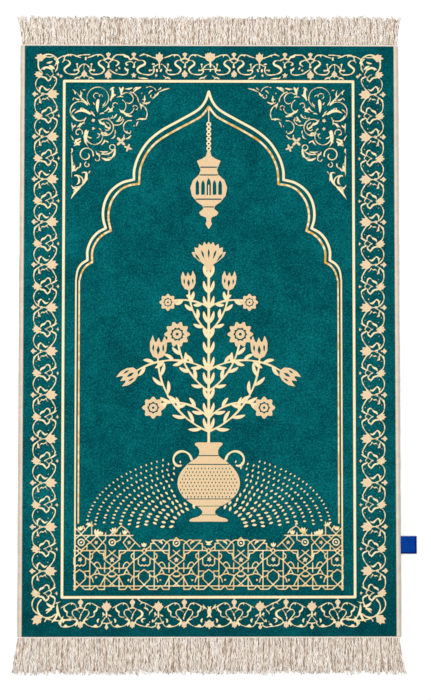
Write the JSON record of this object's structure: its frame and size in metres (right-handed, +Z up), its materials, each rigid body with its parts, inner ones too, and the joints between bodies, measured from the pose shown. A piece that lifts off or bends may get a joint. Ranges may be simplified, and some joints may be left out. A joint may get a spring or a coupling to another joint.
{
  "type": "prayer rug",
  "caption": "Flat cut-pile prayer rug with whipped side bindings, a yarn fringe at each end and a small folded ribbon label.",
  "frame": {"origin": "middle of the pile cloth's underside, on the floor", "axes": "+X across the rug to the side with the label, +Y along it towards the point of the arch, +Z up from the floor"},
  "size_m": [0.7372, 1.2194, 0.006],
  "materials": {
    "pile": "teal cut pile with a cream and gold pattern",
    "binding_yarn": "pale overcast yarn",
    "fringe_yarn": "undyed soft yarn",
    "label_ribbon": "blue woven ribbon"
  },
  "bodies": {
    "root": {"rug": "pile", "binding_left": "binding_yarn", "binding_right": "binding_yarn", "label": "label_ribbon", "fringe_top": "fringe_yarn", "fringe_bottom": "fringe_yarn"}
  },
  "joints": []
}
